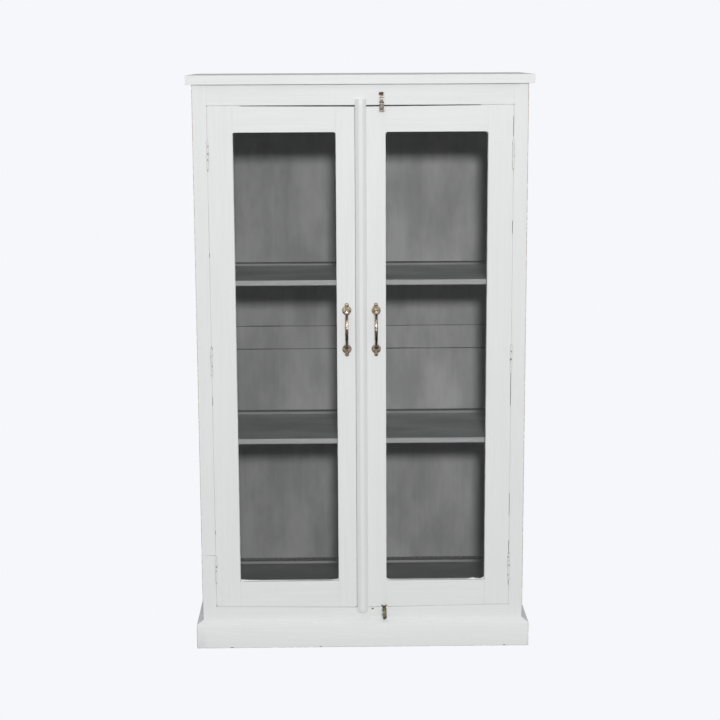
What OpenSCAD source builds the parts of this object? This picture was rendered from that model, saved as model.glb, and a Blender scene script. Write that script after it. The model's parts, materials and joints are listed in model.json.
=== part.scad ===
// Two-door display cabinet for a pharmacy: a painted wooden case on a plinth, with glazed doors,
// two shelves, cast pull handles and a small barrel bolt above and below the right door.
// +Z is up, +Y is towards the back, and the floor under the middle of the cabinet is the origin.

/* [Overall] */
// Height of the whole cabinet
height = 1607; // [1600:1:1620]
// Width of the body, without the overhang of the top
body_w = 909; // [891:2:931]
// Depth of the body, from the face frame to the back
body_d = 385; // [360:5:420]

/* [Top and plinth] */
// Thickness of the top board
top_t = 25; // [20:1:32]
// Overhang of the top board at each side
top_side = 16; // [10:1:26]
// Overhang of the top board at the front
top_front = 8; // [6:1:26]
// Height of the plinth where it meets the body
plinth_h = 78.5; // [66:0.5:79]
// Thickness of the plinth boards
plinth_t = 17; // [12:1:20]
// Height of the slope along the top edge of the plinth
plinth_slope = 9; // [4:1:14]

/* [Case] */
// Thickness of the side boards
side_t = 22; // [18:1:24]
// Thickness of the face frame
frame_t = 22; // [18:1:24]
// Width of the upright members of the face frame
stile_w = 40; // [36:1:44]
// Height of the rail above the doors
top_rail_h = 56; // [50:1:60]
// Height of the bottom rail's top edge in the middle
bottom_rail_top = 112.5; // [111:0.5:116]
// How far that edge rises to each side, with the lower edges of the doors
bottom_rise = 5; // [0:0.5:6]
// Height of the rail below the doors
bottom_rail_h = 72; // [50:1:90]
// Thickness of the back boards
back_t = 12; // [6:1:15]
// Height of the lower edge of the rail across the back
back_rail_z = 795; // [760:1:810]
// Width of the rail across the back
back_rail_w = 69; // [50:1:90]

/* [Shelves] */
// Height of the inside floor
floor_z = 131; // [126:0.5:134]
// Thickness of the inside floor
floor_t = 19; // [15:1:22]
// Height of the lower shelf's top face
lower_shelf_z = 598; // [560:1:620]
// Height of the upper shelf's top face
upper_shelf_z = 1047; // [1000:1:1080]
// Thickness of the shelves
shelf_t = 15; // [12:1:20]
// Distance of the shelves' front edges behind the face frame
shelf_inset = 35; // [30:1:60]
// How far the strips at the back of the shelves stand up
ledge_h = 8; // [6:1:16]
// Depth of those strips
ledge_d = 10; // [6:1:16]
// Width and height of the cleats under the shelves
cleat = 18; // [14:1:20]

/* [Doors] */
// Thickness of the doors
door_t = 22; // [20:1:24]
// Gap above the doors where they meet
gap_top = 4; // [3:0.5:5]
// Gap above the doors at their hinges
gap_top_outer = 0.8; // [0.8:0.1:4]
// Gap below the doors
gap_bottom = 1.5; // [1.5:0.5:4]
// Gap between a door and the face frame at the hinges
gap_side = 0.8; // [0.7:0.1:1.2]
// Gap where the doors meet, at their front
gap_meeting = 0.5; // [0.5:0.1:1]
// Distance of the glass opening's inner edge from the middle
glass_inner = 67.5; // [60:0.5:80]
// Distance of the glass opening's outer edge from the middle
glass_outer = 346; // [330:1:360]
// Height of the glass opening's lower edge
glass_low = 191; // [185:0.5:200]
// Height of the glass opening's upper edge
glass_high = 1454; // [1430:1:1460]
// Radius of the glass opening's corners
corner_r = 6; // [2:1:10]
// Thickness of the glass
glass_t = 3; // [3:0.5:4]

/* [Cover strip] */
// Width of the strip over the meeting of the doors
strip_w = 31; // [28:1:36]
// Thickness of that strip
strip_t = 11; // [8:1:14]
// Width of its flat front
strip_flat = 10; // [8:1:18]
// How far it runs on above the door opening
strip_above = 16; // [4:1:26]
// How far it runs on below the door opening
strip_below = 13; // [4:0.5:20]

/* [Handles] */
// Distance of the handles from the middle
handle_x = 40.5; // [38:0.5:43]
// Height of the handles' middle
handle_z = 913; // [880:1:940]
// Length of the handles
handle_l = 150; // [146:1:160]
// How far the handles stand out from the doors
handle_reach = 30; // [26:1:36]
// Radius of the handles' bar
bar_r = 4.4; // [3.6:0.1:5]

/* [Hinges] */
// Length of a hinge
hinge_l = 76; // [70:1:90]
// Thickness of a hinge leaf
leaf_t = 1.1; // [1:0.1:1.2]
// Radius of the hinge pins
pin_r = 1.3; // [1.1:0.1:1.5]

/* [Bolts] */
// Distance of the top bolt from the middle
top_bolt_x = 57; // [52:1:58]
// Distance of the bottom bolt from the middle
bottom_bolt_x = 61; // [52:1:62]
// Radius of the bolt rods
rod_r = 2.6; // [2.2:0.1:3]
// Travel of the bolt rods
bolt_travel = 11; // [9:0.5:11]

/* [Hidden] */
$fn = 48;
front_shift = handle_reach + 0.5;
front_y = front_shift - (body_d + front_shift) / 2;
half_w = body_w / 2;
case_top = height - top_t;
inside_x = half_w - side_t;
opening_x = half_w - stile_w;
inside_back = body_d - back_t;
rail_edge_top = case_top - top_rail_h;
floor_under = floor_z - floor_t;

door_front = -0.5;
door_rear = door_front + door_t;
door_high = rail_edge_top - gap_top_outer;
door_low = bottom_rail_top + gap_bottom;
right_edge = -strip_w / 2;
left_edge = -right_edge + gap_meeting;
meeting_slant = 0.9;
rebate = 8;
lip_t = 10;
rebate_y = door_front + lip_t;
tenon_t = 8;
tenon_l = 30;
tenon_y = door_front + 7;
tenon_shoulder = 14;
pane_gap = 1;
bead_joint = 0.1;
trim = 10;

stop_t = 12;
stop_inset = 14;
stop_low = rail_edge_top - 14;
stop_high = rail_edge_top + 22;
cleat_inset = 60;
plinth_section = [[0, 0], [plinth_t, 0], [plinth_t, plinth_h - plinth_slope], [0, plinth_h]];
strip_side = 3;

leaf_w = 20;
leaf_clear = 0.3;
knuckles = 5;
knuckle_gap = 0.3;
knuckle_r = 3.1;
pitch = hinge_l / knuckles;
button_h = 1.6;
running_gap = 0.05;
hinge_z = [230, 827, 1393];
axis_x = opening_x - gap_side / 2;
axis_y = -4;
door_edge_x = opening_x - gap_side;
leaf_screw_spots = [[8, -27], [13, 0], [8, 27]];
leaf_screw_l = 14;
leaf_screw_r = 1.4;
leaf_head_r = 3;
hole_gap = 0.15;

foot_r = 13.8;
lobe_r = 6;
foot_t = 3;
foot_span = 15;
foot_z = handle_l / 2 - lobe_r - foot_span;
boss_r = 6.8;
boss_h = 6;
boss_rim = 0.3;
bar_flare = 0.8;
bar_z = foot_z - foot_r + boss_r + boss_rim;
handle_screw_z = foot_z + 9;
handle_screw_l = 16;
handle_screw_r = 1.5;
handle_head_r = 3.3;
handle_head_h = 1.8;

rod_y = -5.2;
guide_r = 4.4;
guide_l = 5;
plate_l = bolt_travel + 22;
plate_w = 15;
plate_t = 1.2;
plate_back = 1;
guide_back = 3;
plate_spots = [for (x = [-5.3, 5.3], z = [-24, -12]) [x, z]];
knob_r = 3;
knob_out = 6.5;
stem_r = 1.8;
tip_gap = 0.5;
knob_z = -plate_l + guide_l + knob_r + tip_gap;
tail_z = -plate_l - 2;
bottom_bolt_z = bottom_rail_top + bottom_rise * bottom_bolt_x / opening_x;
small_screw_l = 9;
small_screw_r = 0.9;
small_head_r = 1.8;
keeper_w = 18;
keeper_screw_x = 7.1;
keeper_step = 0.9;
loop_x = 3.8;
loop_y = -9;
loop_t = 1.4;
top_keeper_l = 12;
bottom_keeper_l = 4.5;

catch_x = [-112, -68];
catch_h = 14;
catch_gap = 0.5;
magnet_out = 2;
strike_t = 0.9;
strike_margin = 2;

white = [0.90, 0.90, 0.89];
grey = [0.47, 0.48, 0.48];
brass = [0.62, 0.52, 0.36];
steel = [0.66, 0.66, 0.65];
dark = [0.16, 0.15, 0.14];
pane = [0.80, 0.86, 0.86, 0.35];

// ---- helpers ----

// Moves what is drawn with y = 0 at the front of the face frame to its place.
module placed() {
    translate([0, front_y, 0])
        children();
}

// The right side as drawn, or its mirror image on the left.
module on_side(side) {
    if (side == "left")
        mirror([1, 0, 0])
            children();
    else
        children();
}

// A board between two corners.
module board(x0, x1, y0, y1, z0, z1) {
    translate([x0, y0, z0])
        cube([x1 - x0, y1 - y0, z1 - z0]);
}

// A board and its mirror image.
module board_pair(x0, x1, y0, y1, z0, z1) {
    for (side = ["left", "right"])
        on_side(side)
            board(x0, x1, y0, y1, z0, z1);
}

// A flat outline in x and z, as thick as from y0 to y1.
module sheet_xz(y0, y1) {
    translate([0, y1, 0])
        rotate([90, 0, 0])
            linear_extrude(y1 - y0)
                children();
}

// A round bar along y, from y0 forwards to y1.
module peg(x, z, y0, y1, r0, r1) {
    translate([x, y0, z])
        rotate([90, 0, 0])
            cylinder(h = y0 - y1, r1 = r0, r2 = r1);
}

// Points along an arc.
function arc(cx, cy, r, a0, a1, n) =
    [for (i = [0 : n]) let (a = a0 + (a1 - a0) * i / n) [cx + r * cos(a), cy + r * sin(a)]];

// ---- case ----

module top_board() color(white) placed()
    board(-half_w - top_side, half_w + top_side, -top_front, body_d, case_top, height);

module side_board(side) color(white) placed() on_side(side)
    board(inside_x, half_w, frame_t, body_d, 0, case_top);

module left_side() side_board("left");
module right_side() side_board("right");

module bottom_board() color(grey) placed()
    board(-inside_x, inside_x, frame_t, inside_back - ledge_d, floor_under, floor_z);

module face_stile(side) color(white) placed() on_side(side)
    difference() {
        board(opening_x, half_w, 0, frame_t, 0, case_top);
        leaf_pockets(opening_x, 1);
    }

module left_face_stile() face_stile("left");
module right_face_stile() face_stile("right");

module top_face_rail() color(white) placed()
    board(-opening_x, opening_x, 0, frame_t, rail_edge_top, case_top);

// Its top edge follows the lower edges of the doors, and rises to both sides.
module bottom_face_rail() color(white) placed() {
    z0 = bottom_rail_top - bottom_rail_h;
    sheet_xz(0, frame_t)
        polygon([[-opening_x, z0], [opening_x, z0], [opening_x, bottom_rail_top + bottom_rise],
                 [0, bottom_rail_top], [-opening_x, bottom_rail_top + bottom_rise]]);
}

// The strip behind the top rail that the doors close against.
module top_door_stop() color(white) placed()
    board(-opening_x + stop_inset, opening_x - stop_inset, frame_t, frame_t + stop_t,
          stop_low, stop_high);

// ---- shelves and back ----

module shelf(z) color(grey) placed()
    board(-inside_x, inside_x, shelf_inset, inside_back - ledge_d, z - shelf_t, z);

module shelf_upper() shelf(upper_shelf_z);
module shelf_lower() shelf(lower_shelf_z);

// Two cleats under each shelf and two under the inside floor.
module shelf_cleats() color(grey) placed() {
    for (z = [upper_shelf_z - shelf_t, lower_shelf_z - shelf_t, floor_under])
        board_pair(inside_x - cleat, inside_x, cleat_inset, inside_back - cleat, z - cleat, z);
}

// Two cleats that hold the top board to the sides.
module top_cleats() color(grey) placed()
    board_pair(inside_x - cleat, inside_x, cleat_inset, inside_back - cleat, case_top - cleat, case_top);

module back_board(z0, z1) color(grey) placed()
    board(-inside_x, inside_x, inside_back, body_d, z0, z1);

module back_panel_upper() back_board(back_rail_z + back_rail_w, case_top);
module back_rail() back_board(back_rail_z, back_rail_z + back_rail_w);
module back_panel_lower() back_board(floor_under, back_rail_z);

// The strip between a shelf and the back, which stands up behind the shelf.
module back_strip(z, t) color(grey) placed()
    board(-inside_x, inside_x, inside_back - ledge_d, inside_back, z - t, z + ledge_h);

module shelf_strip_upper() back_strip(upper_shelf_z, shelf_t);
module shelf_strip_lower() back_strip(lower_shelf_z, shelf_t);
module floor_strip() back_strip(floor_z, floor_t);

// ---- plinth ----

module plinth_front() color(white) placed()
    intersection() {
        translate([-half_w - plinth_t, 0, 0])
            rotate([90, 0, 90])
                mirror([1, 0, 0])
                    linear_extrude(body_w + 2 * plinth_t)
                        polygon(plinth_section);
        linear_extrude(plinth_h)
            polygon([[-half_w - plinth_t, -plinth_t], [half_w + plinth_t, -plinth_t],
                     [half_w, 0], [-half_w, 0]]);
    }

module plinth_end(side) color(white) placed() on_side(side)
    intersection() {
        translate([half_w, body_d, 0])
            rotate([90, 0, 0])
                linear_extrude(body_d + plinth_t)
                    polygon(plinth_section);
        linear_extrude(plinth_h)
            polygon([[half_w, 0], [half_w + plinth_t, -plinth_t],
                     [half_w + plinth_t, body_d], [half_w, body_d]]);
    }

module plinth_left() plinth_end("left");
module plinth_right() plinth_end("right");

module plinth_back() color(grey) placed()
    board(-inside_x, inside_x, body_d - frame_t, body_d, 0, floor_under);

// ---- doors ----

// What is planed off the ends of a door, so that its gaps slope a little.
module planed_off() {
    z_top = rail_edge_top - gap_top;
    sheet_xz(door_front - 1, door_rear + 1) {
        polygon([[-trim - strip_w, z_top], [0, z_top], [opening_x, door_high],
                 [opening_x, door_high + trim], [-trim - strip_w, door_high + trim]]);
        polygon([[-trim - strip_w, door_low], [0, door_low], [opening_x, door_low + bottom_rise],
                 [opening_x, door_low - trim], [-trim - strip_w, door_low - trim]]);
    }
}

// A member of a door that stands upright, with the rebate for the glass.
module door_stile(side, edge, glass_edge) color(white) placed() on_side(side) {
    step = glass_edge > edge ? -rebate : rebate;
    slant = edge == door_edge_x ? 0 : meeting_slant;
    difference() {
        translate([0, 0, door_low])
            linear_extrude(door_high - door_low)
                polygon([[glass_edge, door_front], [edge, door_front], [edge + slant, door_rear],
                         [glass_edge + step, door_rear], [glass_edge + step, rebate_y],
                         [glass_edge, rebate_y]]);
        rail_tenons(door_low, glass_low);
        rail_tenons(glass_high, door_high);
        planed_off();
        if (edge == door_edge_x)
            leaf_pockets(door_edge_x, -1);
    }
}

module left_hinge_stile() door_stile("left", door_edge_x, glass_outer);
module left_meeting_stile() door_stile("left", left_edge, glass_inner);
module right_hinge_stile() door_stile("right", door_edge_x, glass_outer);
module right_meeting_stile() door_stile("right", right_edge, glass_inner);

// The tenons of a rail, with the length between them.
module rail_tenons(z0, z1) {
    board(glass_inner - tenon_l, glass_outer + tenon_l, tenon_y, tenon_y + tenon_t,
          z0 + tenon_shoulder, z1 - tenon_shoulder);
}

// The two round corners of the glass opening at one rail, which the front of that rail fills.
module glass_corners(z, up) {
    for (x = [glass_inner, glass_outer]) {
        dx = x == glass_inner ? corner_r : -corner_r;
        difference() {
            translate([min(x, x + dx), min(z, z + up * corner_r)])
                square(corner_r);
            translate([x + dx, z + up * corner_r])
                circle(corner_r);
        }
    }
}

// A rail of a door between z0 and z1: up is 1 where the glass is above it and -1 where it is below.
module door_rail(side, z0, z1, up) color(white) placed() on_side(side)
    difference() {
        union() {
            sheet_xz(door_front, rebate_y) {
                translate([glass_inner, z0])
                    square([glass_outer - glass_inner, z1 - z0]);
                glass_corners(up > 0 ? z1 : z0, up);
            }
            board(glass_inner - rebate, glass_outer + rebate, rebate_y, door_rear,
                  up > 0 ? z0 : z0 + rebate, up > 0 ? z1 - rebate : z1);
            rail_tenons(z0, z1);
        }
        planed_off();
    }

module left_top_rail() door_rail("left", glass_high, door_high, -1);
module left_bottom_rail() door_rail("left", door_low, glass_low, 1);
module right_top_rail() door_rail("right", glass_high, door_high, -1);
module right_bottom_rail() door_rail("right", door_low, glass_low, 1);

module glass(side) color(pane) placed() on_side(side)
    board(glass_inner - rebate + pane_gap, glass_outer + rebate - pane_gap,
          rebate_y, rebate_y + glass_t,
          glass_low - rebate + pane_gap, glass_high + rebate - pane_gap);

module left_glass() glass("left");
module right_glass() glass("right");

// Four beads behind the glass, with a hairline joint where two of them meet.
module glazing_beads(side) color(white) placed() on_side(side) {
    y0 = rebate_y + glass_t;
    y1 = door_rear - 1;
    x0 = glass_inner + bead_joint;
    x1 = glass_outer - bead_joint;
    board(glass_inner - rebate, glass_inner, y0, y1, glass_low - rebate, glass_high + rebate);
    board(glass_outer, glass_outer + rebate, y0, y1, glass_low - rebate, glass_high + rebate);
    board(x0, x1, y0, y1, glass_low - rebate, glass_low);
    board(x0, x1, y0, y1, glass_high, glass_high + rebate);
}

module left_glazing_beads() glazing_beads("left");
module right_glazing_beads() glazing_beads("right");

// The bevelled strip on the edge of the right door, which runs on in front of both rails.
module cover_strip() color(white) placed()
    translate([0, 0, bottom_rail_top - strip_below])
        linear_extrude(rail_edge_top - bottom_rail_top + strip_below + strip_above)
            translate([0, door_front])
                polygon([[-strip_w / 2, 0], [-strip_w / 2, -strip_side], [-strip_flat / 2, -strip_t],
                         [strip_flat / 2, -strip_t], [strip_w / 2, -strip_side], [strip_w / 2, 0]]);

// ---- handles ----

// Outline of a handle's foot: a disc that narrows to a small lobe.
function foot_outline() =
    let (t = asin((foot_r - lobe_r) / foot_span))
    concat(arc(0, foot_span, lobe_r, t, 180 - t, 16), arc(0, 0, foot_r, 180 - t, 360 + t, 32));

module handle_foot() {
    y_top = door_front - foot_t;
    difference() {
        union() {
            sheet_xz(y_top, door_front)
                translate([0, foot_z])
                    polygon(foot_outline());
            peg(0, bar_z, y_top, y_top - boss_h, boss_r, bar_r + bar_flare);
        }
        handle_screw(hole_gap);
    }
}

// A countersunk screw through the foot, with an allowance all round for its hole.
module handle_screw(gap) {
    y_top = door_front - foot_t;
    r = handle_screw_r + gap;
    peg(0, handle_screw_z, door_front + handle_screw_l, y_top + handle_head_h, r, r);
    peg(0, handle_screw_z, y_top + handle_head_h, y_top, r, handle_head_r + gap);
}

module handle(side) color(brass) placed() on_side(side)
    translate([handle_x, 0, handle_z]) {
        rise = handle_reach - bar_r - foot_t - 1;
        bend_r = (bar_z * bar_z + rise * rise) / (2 * rise);
        half_turn = asin(bar_z / bend_r);
        for (flip = [0, 1])
            mirror([0, 0, flip])
                handle_foot();
        translate([0, door_front - handle_reach + bar_r + bend_r, 0])
            rotate([90, 0, 0])
                rotate([0, -90, 0])
                    rotate([0, 0, -half_turn])
                        rotate_extrude(angle = 2 * half_turn)
                            translate([bend_r, 0])
                                circle(bar_r);
    }

module left_handle() handle("left");
module right_handle() handle("right");

module handle_screws(side) color(steel) placed() on_side(side)
    for (flip = [0, 1])
        translate([handle_x, 0, handle_z])
            mirror([0, 0, flip])
                handle_screw(0);

module left_handle_screws() handle_screws("left");
module right_handle_screws() handle_screws("right");

// ---- hinges ----

// One leaf with every second knuckle. x is its face, flush with the wood, and into is the way in.
module leaf(x, into, first) {
    x0 = min(x, x + into * leaf_t);
    difference() {
        union() {
            board(x0, x0 + leaf_t, leaf_clear, leaf_w, -hinge_l / 2, hinge_l / 2);
            for (k = [first : 2 : knuckles - 1]) {
                z0 = -hinge_l / 2 + k * pitch + knuckle_gap / 2;
                z1 = z0 + pitch - knuckle_gap;
                board(x0, x0 + leaf_t, axis_y, leaf_clear, z0, z1);
                translate([axis_x, axis_y, z0])
                    cylinder(h = z1 - z0, r = knuckle_r);
            }
        }
        translate([axis_x, axis_y, -hinge_l])
            cylinder(h = 2 * hinge_l, r = pin_r + running_gap);
        for (spot = leaf_screw_spots)
            leaf_screw(x, into, spot, hole_gap);
    }
}

// The pockets that the three leaves of one board are let into.
module leaf_pockets(x, into)
    for (z = hinge_z)
        board(min(x - into, x + into * leaf_t), max(x - into, x + into * leaf_t), -1, leaf_w,
              z - hinge_l / 2, z + hinge_l / 2);

// A screw through a leaf into the wood, with an allowance for its hole.
module leaf_screw(x, into, spot, gap) {
    translate([x, spot[0], spot[1]])
        rotate([0, into * 90, 0]) {
            cylinder(h = leaf_t, r1 = leaf_head_r + gap, r2 = leaf_screw_r + gap);
            cylinder(h = leaf_screw_l, r = leaf_screw_r + gap);
        }
}

module at_hinges(side) placed() on_side(side)
    for (z = hinge_z)
        translate([0, 0, z])
            children();

module left_frame_leaves() color(white) at_hinges("left") leaf(opening_x, 1, 0);
module right_frame_leaves() color(white) at_hinges("right") leaf(opening_x, 1, 0);
module left_door_leaves() color(white) at_hinges("left") leaf(door_edge_x, -1, 1);
module right_door_leaves() color(white) at_hinges("right") leaf(door_edge_x, -1, 1);

// A pin with a small button at each end.
module hinge_pin() {
    translate([axis_x, axis_y, -hinge_l / 2 - button_h / 2])
        cylinder(h = hinge_l + button_h, r = pin_r);
    for (flip = [0, 1])
        mirror([0, 0, flip])
            translate([axis_x, axis_y, hinge_l / 2])
                cylinder(h = button_h, r1 = knuckle_r, r2 = pin_r + knuckle_gap);
}

module left_hinge_pins() color(white) at_hinges("left") hinge_pin();
module right_hinge_pins() color(white) at_hinges("right") hinge_pin();

module leaf_screws(x, into)
    for (spot = leaf_screw_spots)
        leaf_screw(x, into, spot, 0);

module left_frame_leaf_screws() color(steel) at_hinges("left") leaf_screws(opening_x, 1);
module right_frame_leaf_screws() color(steel) at_hinges("right") leaf_screws(opening_x, 1);
module left_door_leaf_screws() color(steel) at_hinges("left") leaf_screws(door_edge_x, -1);
module right_door_leaf_screws() color(steel) at_hinges("right") leaf_screws(door_edge_x, -1);

// ---- bolts ----

// Draws a bolt at one rail. Its own z = 0 is the edge of the rail, and +z is the way the rod shoots.
module at_bolt(place) placed() {
    if (place == "top")
        translate([top_bolt_x, 0, rail_edge_top])
            mirror([0, 0, 1])
                children();
    else
        translate([bottom_bolt_x, 0, bottom_bolt_z])
            children();
}

module bolt_guide(z) {
    translate([0, rod_y, z])
        cylinder(h = guide_l, r = guide_r);
    board(-guide_r, guide_r, rod_y, -plate_t, z, z + guide_l);
}

module bolt_plate(place) color(brass) at_bolt(place)
    difference() {
        union() {
            board(-plate_w / 2, plate_w / 2, -plate_t, 0, -plate_l - plate_back, -plate_back);
            bolt_guide(-plate_l);
            bolt_guide(-guide_l - guide_back);
        }
        translate([0, rod_y, -2 * plate_l])
            cylinder(h = 3 * plate_l, r = rod_r + running_gap);
        for (spot = plate_spots)
            small_screw(spot[0], spot[1], -plate_t, hole_gap);
    }

// A small countersunk screw with its head at height y, with an allowance for its hole.
module small_screw(x, z, y, gap) {
    peg(x, z, y + small_screw_l, y, small_screw_r + gap, small_screw_r + gap);
    peg(x, z, y + 1, y, small_screw_r + gap, small_head_r + gap);
}

module bolt_rod(place) color(brass) at_bolt(place) {
    translate([0, rod_y, tail_z])
        cylinder(h = -tip_gap - tail_z, r = rod_r);
    peg(0, knob_z, rod_y, rod_y - knob_out, stem_r, stem_r);
    translate([0, rod_y - knob_out, knob_z])
        sphere(knob_r);
}

// The staple on the door that the rod shoots into: a strap bent up between two screwed feet.
module bolt_keeper(place, gap_to_door, length) color(brass) at_bolt(place)
    translate([0, 0, gap_to_door + keeper_step])
        difference() {
            union() {
                board(-keeper_w / 2, keeper_w / 2, door_front - plate_t, door_front, 0, length);
                board(-loop_x - loop_t, loop_x + loop_t, loop_y - loop_t, door_front, 0, length);
            }
            board(-loop_x, loop_x, loop_y, door_front + 1, -1, length + 1);
            for (x = [-keeper_screw_x, keeper_screw_x])
                small_screw(x, length / 2, door_front - plate_t, hole_gap);
        }

module keeper_screws(place, gap_to_door, length) at_bolt(place)
    for (x = [-keeper_screw_x, keeper_screw_x])
        small_screw(x, gap_to_door + keeper_step + length / 2, door_front - plate_t, 0);

module top_bolt_plate() bolt_plate("top");
module top_bolt_rod() bolt_rod("top");
module top_bolt_keeper() bolt_keeper("top", gap_top, top_keeper_l);
module bottom_bolt_plate() bolt_plate("bottom");
module bottom_bolt_rod() bolt_rod("bottom");
module bottom_bolt_keeper() bolt_keeper("bottom", gap_bottom, bottom_keeper_l);

module bolt_plate_screws() color(steel)
    for (place = ["top", "bottom"], spot = plate_spots)
        at_bolt(place)
            small_screw(spot[0], spot[1], -plate_t, 0);

module bolt_keeper_screws() color(steel) {
    keeper_screws("top", gap_top, top_keeper_l);
    keeper_screws("bottom", gap_bottom, bottom_keeper_l);
}

// ---- catch of the left door ----

module catch_magnet() color(dark) placed()
    board(catch_x[0], catch_x[1], door_rear + strike_t + catch_gap, frame_t + stop_t + magnet_out,
          stop_low - catch_h, stop_low);

module catch_strike() color(steel) placed()
    board(catch_x[0] + strike_margin, catch_x[1] - strike_margin, door_rear, door_rear + strike_t,
          stop_low - catch_h + strike_margin, stop_low - strike_margin);

// ---- nodes ----

top_board();
left_side();
right_side();
bottom_board();
left_face_stile();
right_face_stile();
top_face_rail();
bottom_face_rail();
top_door_stop();
shelf_upper();
shelf_lower();
shelf_cleats();
top_cleats();
back_panel_upper();
back_rail();
back_panel_lower();
shelf_strip_upper();
shelf_strip_lower();
floor_strip();
plinth_front();
plinth_left();
plinth_right();
plinth_back();
left_hinge_stile();
left_meeting_stile();
left_top_rail();
left_bottom_rail();
left_glass();
left_glazing_beads();
right_hinge_stile();
right_meeting_stile();
right_top_rail();
right_bottom_rail();
right_glass();
right_glazing_beads();
cover_strip();
left_handle();
right_handle();
left_handle_screws();
right_handle_screws();
left_frame_leaves();
right_frame_leaves();
left_door_leaves();
right_door_leaves();
left_hinge_pins();
right_hinge_pins();
left_frame_leaf_screws();
right_frame_leaf_screws();
left_door_leaf_screws();
right_door_leaf_screws();
top_bolt_plate();
top_bolt_rod();
top_bolt_keeper();
bottom_bolt_plate();
bottom_bolt_rod();
bottom_bolt_keeper();
bolt_plate_screws();
bolt_keeper_screws();
catch_magnet();
catch_strike();
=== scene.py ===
"""The looks of a white painted display cabinet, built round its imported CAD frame, in metres."""
import json
import math

import bmesh
import bpy
from mathutils import Matrix, Vector, noise
from mathutils.bvhtree import BVHTree


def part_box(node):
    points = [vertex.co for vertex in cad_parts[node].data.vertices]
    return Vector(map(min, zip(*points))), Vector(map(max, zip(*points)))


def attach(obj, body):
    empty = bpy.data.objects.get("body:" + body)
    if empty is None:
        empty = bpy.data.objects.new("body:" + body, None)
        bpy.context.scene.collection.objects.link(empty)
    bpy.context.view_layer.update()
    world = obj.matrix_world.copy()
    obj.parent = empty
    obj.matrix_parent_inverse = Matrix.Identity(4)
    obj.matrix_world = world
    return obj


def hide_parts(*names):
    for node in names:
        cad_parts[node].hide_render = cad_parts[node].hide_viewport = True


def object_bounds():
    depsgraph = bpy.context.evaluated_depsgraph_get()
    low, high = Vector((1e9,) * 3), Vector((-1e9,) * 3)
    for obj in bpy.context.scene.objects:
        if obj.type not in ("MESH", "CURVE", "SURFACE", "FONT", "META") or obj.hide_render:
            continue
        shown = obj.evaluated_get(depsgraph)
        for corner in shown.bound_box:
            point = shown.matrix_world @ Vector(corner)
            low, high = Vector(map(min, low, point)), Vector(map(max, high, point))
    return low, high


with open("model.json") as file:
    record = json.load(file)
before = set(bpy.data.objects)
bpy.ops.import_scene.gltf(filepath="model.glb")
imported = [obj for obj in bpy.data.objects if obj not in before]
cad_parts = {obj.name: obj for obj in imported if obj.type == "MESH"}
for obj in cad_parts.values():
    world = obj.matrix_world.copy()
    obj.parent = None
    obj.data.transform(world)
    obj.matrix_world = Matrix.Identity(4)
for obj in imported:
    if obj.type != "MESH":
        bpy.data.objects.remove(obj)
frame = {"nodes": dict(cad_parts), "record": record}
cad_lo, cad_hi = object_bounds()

MM = 0.001
WELD = 2e-6          # points of a CAD mesh closer than this are one point
FLAT = 0.5           # faces that meet at less than this many degrees are one flat side
HAND_SEED = 7        # one seed for all the wood, so that flush pieces stay flush
HAND_SIZE = 0.09     # length of the waves that hand work leaves
HAND_DEPTH = 0.12 * MM
CUT_STEP = 0.03      # spacing of the cuts along a wooden member
X, Y, Z = 0, 1, 2
AXES = (Vector((1, 0, 0)), Vector((0, 1, 0)), Vector((0, 0, 1)))
BODY_OF = {n: body for body, ns in frame["record"]["behaviour"]["bodies"].items() for n in ns}

scene = bpy.context.scene
scene.view_settings.view_transform = "Standard"


# ---- places taken from the frame ----

face_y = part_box("left_face_stile")[0].y
inner_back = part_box("back_rail")[0].y
inside_lo = Vector((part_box("left_side")[1].x, face_y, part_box("bottom_board")[0].z))
inside_hi = Vector((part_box("right_side")[0].x, inner_back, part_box("top_board")[0].z))


# ---- shader helpers ----

class Paint:
    """A material with short calls that add and link its nodes."""

    def __init__(self, name):
        self.material = bpy.data.materials.new(name)
        self.material.use_nodes = True
        self.tree = self.material.node_tree
        self.shader = self.tree.nodes["Principled BSDF"]
        self.where = self.tree.nodes.new("ShaderNodeTexCoord").outputs["Object"]

    def add(self, kind, inputs, out=0, **settings):
        made = self.tree.nodes.new("ShaderNode" + kind)
        for name, value in settings.items():
            setattr(made, name, value)
        for key, value in inputs.items():
            self.put(made.inputs[key], value)
        return made.outputs[out]

    def put(self, socket, value):
        if isinstance(value, bpy.types.NodeSocket):
            self.tree.links.new(value, socket)
        else:
            socket.default_value = value

    def set(self, **values):
        for name, value in values.items():
            self.put(self.shader.inputs[name.replace("_", " ").title()], value)

    def math(self, operation, a, b=0.0, clamp=False):
        return self.add("Math", {0: a, 1: b}, operation=operation, use_clamp=clamp)

    def noise(self, scale, detail=2.0, rough=0.5, shift=0.0):
        """Noise with its own scale along each axis, in features a metre."""
        moved = self.add("Mapping", {"Vector": self.where, "Scale": scale, "Location": (shift,) * 3})
        return self.add("TexNoise",
                        {"Vector": moved, "Scale": 1.0, "Detail": detail, "Roughness": rough})

    def step(self, value, low, high):
        """0 below low, 1 above high, and smooth between them."""
        return self.add("MapRange", {"Value": value, "From Min": low, "From Max": high},
                        interpolation_type="SMOOTHSTEP")

    def spread(self, value, low, high):
        """A value from 0 to 1, spread from low to high."""
        return self.add("MapRange", {"Value": value, "To Min": low, "To Max": high})

    def mix(self, share, a, b):
        made = self.tree.nodes.new("ShaderNodeMix")
        made.data_type = "RGBA"
        self.put(made.inputs[0], share)
        self.put(made.inputs[6], a)
        self.put(made.inputs[7], b)
        return made.outputs[2]

    def mark(self, name):
        return self.add("Attribute", {}, out=2, attribute_name=name)

    def bump(self, height, depth):
        self.put(self.shader.inputs["Normal"],
                 self.add("Bump", {"Height": height, "Distance": depth, "Strength": 1.0}))


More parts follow.
